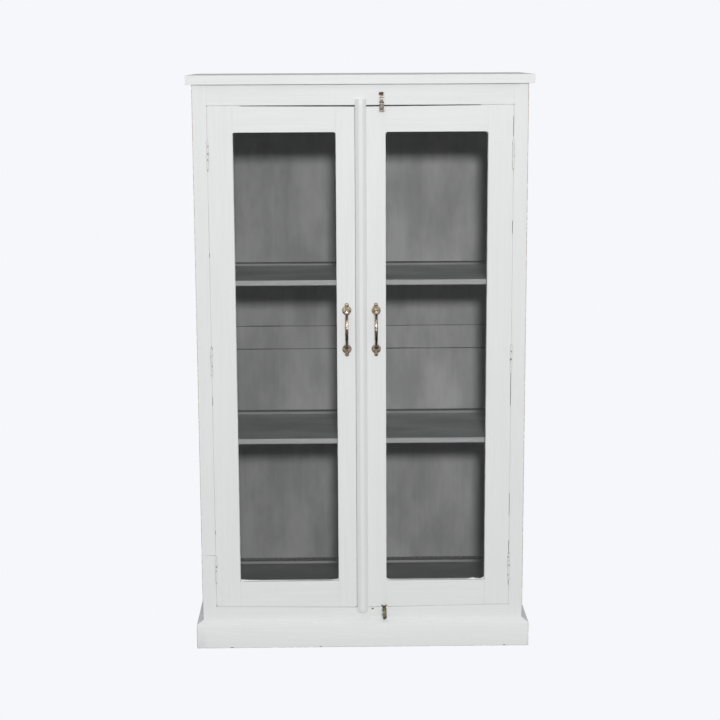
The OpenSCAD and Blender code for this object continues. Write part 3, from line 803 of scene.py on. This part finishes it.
def cast_handle(side):
    """A cast pull: two domed feet with a lobe each, and a bar that bows out between two collars."""
    lo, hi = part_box(f"{side}_handle")
    mid = (lo + hi) / 2
    mid.y = hi.y
    half = (hi.z - lo.z) / 2
    foot_z = half - LOBE_R - LOBE_SPAN
    bar_z = foot_z - FOOT_R + BOSS_R
    bm = bmesh.new()
    screws = []
    for up in (1, -1):
        foot = mid + Vector((0, 0, up * foot_z))
        turned(bm, foot, ((12.6, 0), (13, 0.5), (12.4, 1.5), (10.8, 2.6), (8, 3.2), (3, 3.4)))
        lobe = foot + Vector((0, 0, up * LOBE_SPAN))
        turned(bm, lobe, ((5.7, 0), (6, 0.7), (5.3, 2.2), (3.4, 3.3), (1, 3.7)))
        neck = foot + Vector((0, 0, up * (LOBE_SPAN - 4.5 * MM)))
        turned(bm, neck, ((5.2, 0), (5.2, 1.2), (3.6, 2.2), (1, 2.5)))
        collar = mid + Vector((0, 0, up * bar_z))
        turned(bm, collar, ((7.4, 1), (7.7, 3.4), (7.1, 4.6), (6.2, 5.0), (6.1, 6.2), (5.4, 8.6),
                            (3, 9.2)))
        screws.append(foot + Vector((0, 0, up * SCREW_OFF)))
    reach = hi.y - lo.y
    rise = reach - BAR_R - 4 * MM
    bend = (bar_z ** 2 + rise ** 2) / (2 * rise)
    turn = math.asin(bar_z / bend)
    centre = mid + Vector((0, bend - reach + BAR_R + 0.1 * MM, 0))
    steps = [k / 24 - 1 for k in range(49)]
    swept(bm, [centre + Vector((0, -math.cos(turn * t), math.sin(turn * t))) * bend for t in steps],
          [BAR_R * (0.88 + 0.12 * math.cos(t * math.pi / 2)) for t in steps])
    bm = one_skin(bm, 0.45 * MM, 3, 0.4)
    for v in bm.verts:
        for spot in screws:
            far = math.hypot(v.co.x - spot.x, v.co.z - spot.z) / MM
            if far < 5:
                deep = 1.9 + 1.4 * max(0.0, min(1.0, (far - 3.6) / 1.3))
                v.co.y = max(v.co.y, mid.y - deep * MM)
        v.co += v.normal * noise.noise(v.co / (4 * MM)) * 0.15 * MM
    bm.normal_update()

    def dark(point):
        down = (mid.z - point.z) / bar_z
        if any(math.hypot(point.x - spot.x, point.z - spot.z) < 4.6 * MM for spot in screws):
            return 0.5
        # The bar's ends at the collars, the lower end more, are darkened as painted shade standing in for
        # the dim surroundings they mirror. The lower foot is darker than the upper one.
        if abs(down) > 0.72 and point.y < mid.y - 9 * MM:
            return 0.4 if down < 0 else 0.6
        return 0.35 if down > 0.9 else 0.1

    def dull(point):
        """The feet are dull, apart from the top collar's front."""
        if point.y < mid.y - 7 * MM:
            return 0.0
        above_collar = (point.z - mid.z - bar_z) / MM
        return 0.25 if -6 < above_collar < 2.5 and point.y < mid.y - 3 * MM else 0.95

    mark_faces(bm, "dark", dark)
    mark_faces(bm, "dull", dull)
    publish(f"v_{side}_handle", bm, f"{side}_handle", [cast_brass], [f"{side}_handle"], 50)
    slotted_screws(side, screws)


def slab(bm, outline, centre, low, high, chamfer):
    """A flat solid with a chamfered front, from an outline of (x, z) pairs in millimetres."""
    def level(scale, height):
        return [bm.verts.new(centre + Vector((x * scale, -height, z * scale)) * MM) for x, z in outline]
    join_rings(bm, [level(1, low), level(1, high - chamfer), level(0.88, high)])


def slotted_screws(side, screws):
    """Countersunk heads with a slot: two half discs that stand on a lower one."""
    bm = bmesh.new()
    radius, slot = 3.3, 0.45
    for i, spot in enumerate(screws):
        tilt = 0.5 + i + len(side)
        start = math.asin(slot / radius)
        for half in (0, math.pi):
            arc = [half + start + (math.pi - 2 * start) * k / 14 for k in range(15)]
            points = [(radius * math.cos(a), radius * math.sin(a)) for a in arc]
            turnt = [(x * math.cos(tilt) - z * math.sin(tilt), x * math.sin(tilt) + z * math.cos(tilt))
                     for x, z in points]
            slab(bm, turnt, spot, 1.0, 2.9, 0.35)
        turned(bm, spot, ((3.2, 0.2), (3.2, 2.0)))
    bmesh.ops.recalc_face_normals(bm, faces=bm.faces)
    node = f"{side}_handle_screws"
    publish("v_" + node, bm, node, [dark_screw], [node])


for side in ("left", "right"):
    cast_handle(side)


# ---- bolts ----

CREAM, WHITISH = (0.84, 0.80, 0.72), (0.78, 0.79, 0.78)
# (lower end of the band in millimetres above the bolt's gap, colour), from the top down. Most bands are
# the bolt's own paint, brass and copper; the cream band from 14.5 is a painted highlight on top of the
# drawn barrel, the dark band from 5.5 is painted shade under it, and the dark band from -13.0 is painted
# shade in the keeper's opening.
TOP_BANDS = (
    (28.0, (0.065, 0.045, 0.03)), (24.5, (0.42, 0.22, 0.15)), (21.0, CREAM), (19.3, (0.34, 0.27, 0.25)),
    (14.5, CREAM), (9.0, (0.24, 0.25, 0.20)), (5.5, (0.13, 0.10, 0.08)), (1.0, (0.55, 0.50, 0.42)),
    (-4.0, (0.20, 0.20, 0.14)), (-9.0, (0.28, 0.20, 0.17)), (-13.0, (0.08, 0.06, 0.055)),
    (-30.0, (0.45, 0.37, 0.34)))
BOTTOM_BANDS = (
    (-1.0, (0.13, 0.09, 0.06)), (-5.0, (0.26, 0.20, 0.13)), (-12.0, (0.20, 0.165, 0.10)),
    (-22.0, (0.34, 0.30, 0.20)), (-29.0, (0.22, 0.19, 0.12)), (-60.0, (0.09, 0.075, 0.05)))


def banded(middle, bands, half, lean, shade):
    """A rule that colours a bolt in bands along z from its gap, between edges that lean as z grows."""
    def rule(point):
        rise = (point.z - middle.z) / MM
        aside = (point.x - middle.x) / MM - lean * rise
        wobble = noise.noise(point * 400)
        if abs(aside) > half + 0.8 * wobble:
            return WHITISH
        tone = shade if abs(aside) > half - 1.4 else 1.0
        for low, colour in bands:
            if rise + wobble > low:
                return tuple(c * tone for c in colour)
        return WHITISH
    return rule


def forged(node, rule, lip=None):
    """A part of a bolt with soft edges and flaking paint, in colours from a rule that can also paint in
    light and shade.

    A lip is one more strap, as (lowest, highest) corners.
    """
    bm = cad_mesh(node)
    if lip:
        bar(bm, *lip)
        bmesh.ops.recalc_face_normals(bm, faces=bm.faces)
    ease(bm, 0.3 * MM)
    lo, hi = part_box(node)
    for axis, step in ((Z, 1.2 * MM), (X, 1.4 * MM)):
        count = int((hi[axis] - lo[axis]) / step)
        cut_across(bm, axis, [lo[axis] + step * k for k in range(1, count + 1)])
    bm.normal_update()
    tint_faces(bm, rule)
    publish("v_" + node, bm, node, [bolt_metal], [node], 35)


def middle_of(place, z):
    """The middle of the top or bottom bolt across x, at the height z."""
    lo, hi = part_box(f"{place}_bolt_plate")
    return Vector(((lo.x + hi.x) / 2, 0, z))


keeper_lo, keeper_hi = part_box("top_bolt_keeper")
top_rule = banded(middle_of("top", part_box("top_face_rail")[0].z), TOP_BANDS, 6.6, -0.045, 0.8)
top_middle = middle_of("top", 0).x
lip = ((top_middle - 5 * MM, keeper_lo.y, keeper_hi.z - 1 * MM),
       (top_middle + 5 * MM, keeper_lo.y + 1.2 * MM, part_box("top_bolt_plate")[0].z - 0.2 * MM))
forged("top_bolt_plate", top_rule)
forged("top_bolt_rod", top_rule)
forged("top_bolt_keeper", top_rule, lip)
bottom_middle = middle_of("bottom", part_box("bottom_bolt_keeper")[0].z)
bottom_rule = banded(bottom_middle, BOTTOM_BANDS, 5.2, -0.07, 0.6)
for part in ("plate", "rod", "keeper"):
    forged(f"bottom_bolt_{part}", bottom_rule)

rail_lo, rail_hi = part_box("bottom_face_rail")
chip("v_rail_chip", "bottom_face_rail", 0.028, rail_hi.z - 9.5 * MM, 8 * MM, 4.5 * MM, rail_lo.y,
     dark_screw)
plinth_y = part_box("plinth_front")[0].y
for k, (x, wide) in enumerate(((-0.372, 9), (0.403, 7), (-0.12, 5))):
    chip(f"v_plinth_chip_{k}", "plinth_front", x, cad_lo.z + 2.2 * MM, wide * MM, 3 * MM, plinth_y,
         bare_wood)


# ---- floor, light and camera ----

BACKDROP = rgb(0.9216, 0.930, 0.965)
FLOOR_SIZE = 400.0


def floor():
    """A pale floor that runs on into the backdrop with no line between them."""
    bm = bmesh.new()
    bmesh.ops.create_grid(bm, x_segments=8, y_segments=8, size=FLOOR_SIZE / 2)
    mesh = bpy.data.meshes.new("floor")
    bm.to_mesh(mesh)
    bm.free()
    p = Paint("pale_floor")
    p.tree.links.new(p.add("Emission", {"Color": BACKDROP, "Strength": 1.0}),
                     p.tree.nodes["Material Output"].inputs["Surface"])
    mesh.materials.append(p.material)
    made = bpy.data.objects.new("floor", mesh)
    made.location.z = cad_lo.z - 0.2 * MM
    made.visible_diffuse = False
    made.visible_glossy = False
    made.visible_shadow = False
    scene.collection.objects.link(made)


def surroundings(zenith, sky, ground, room, panel):
    """Even light from above and below. The camera sees the backdrop.

    Shiny things mirror a dim room with one wide bright panel in front of the cabinet.
    """
    world = bpy.data.worlds.new("studio")
    scene.world = world
    world.use_nodes = True
    tree = world.node_tree
    new, link = tree.nodes.new, tree.links.new
    back = tree.nodes["Background"]
    way = new("ShaderNodeSeparateXYZ")
    link(new("ShaderNodeTexCoord").outputs["Generated"], way.inputs[0])
    ray = new("ShaderNodeLightPath")

    def mix(share, a, b):
        m = new("ShaderNodeMix")
        m.data_type = "RGBA"
        for socket, value in ((m.inputs[0], share), (m.inputs[6], a), (m.inputs[7], b)):
            if isinstance(value, bpy.types.NodeSocket):
                link(value, socket)
            else:
                socket.default_value = value
        return m.outputs[2]

    def rise(axis, low, high):
        made = new("ShaderNodeMapRange")
        made.interpolation_type = "SMOOTHSTEP"
        made.inputs["From Min"].default_value = low
        made.inputs["From Max"].default_value = high
        link(way.outputs[axis], made.inputs["Value"])
        return made.outputs[0]

    lit = mix(rise("Z", -0.1, 0.1), ground, sky)
    lit = mix(rise("Z", 0.6, 0.95), lit, zenith)
    mirrored = mix(rise("Z", -0.04, 0.0), room, panel)
    mirrored = mix(rise("Z", 0.5, 0.62), mirrored, room)
    mirrored = mix(rise("Y", -0.2, 0.1), mirrored, room)
    lit = mix(ray.outputs["Is Glossy Ray"], lit, mirrored)
    link(mix(ray.outputs["Is Camera Ray"], lit, BACKDROP), back.inputs["Color"])


def lamp(name, place, target, size, watts):
    data = bpy.data.lights.new(name, "AREA")
    data.shape = "DISK"
    data.size = size
    data.energy = watts
    made = bpy.data.objects.new(name, data)
    made.location = place
    made.rotation_euler = (Vector(target) - Vector(place)).to_track_quat("-Z", "Y").to_euler()
    scene.collection.objects.link(made)


def camera(place, yaw, pitch, roll, lens):
    """A camera that looks along +Y, turned to +X by yaw, down by pitch and then rolled, in radians."""
    data = bpy.data.cameras.new("camera")
    data.lens = lens
    data.sensor_width = 36.0
    forward = Vector((math.sin(yaw), math.cos(yaw), 0))
    right = Vector((math.cos(yaw), -math.sin(yaw), 0))
    up = Vector((0, 0, 1))
    ahead = forward * math.cos(pitch) - up * math.sin(pitch)
    above = forward * math.sin(pitch) + up * math.cos(pitch)
    side = right * math.cos(roll) + above * math.sin(roll)
    top = above * math.cos(roll) - right * math.sin(roll)
    made = bpy.data.objects.new("camera", data)
    made.matrix_world = Matrix.Translation(place) @ Matrix((side, top, -ahead)).transposed().to_4x4()
    scene.collection.objects.link(made)
    scene.camera = made


floor()
surroundings(zenith=rgb(0.86, 0.86, 0.87), sky=rgb(0.38, 0.38, 0.39), ground=rgb(0.38, 0.38, 0.38),
             room=rgb(0.05, 0.05, 0.05), panel=rgb(1.6, 1.58, 1.5))
lamp("key", (0.25, face_y - 7.6, 3.4), (0.0, face_y, 0.8), 0.85, 326.0)
camera(Vector((-0.075, -4.74235, 1.66644)), yaw=0.01545, pitch=0.18165, roll=-0.00466, lens=83.816)
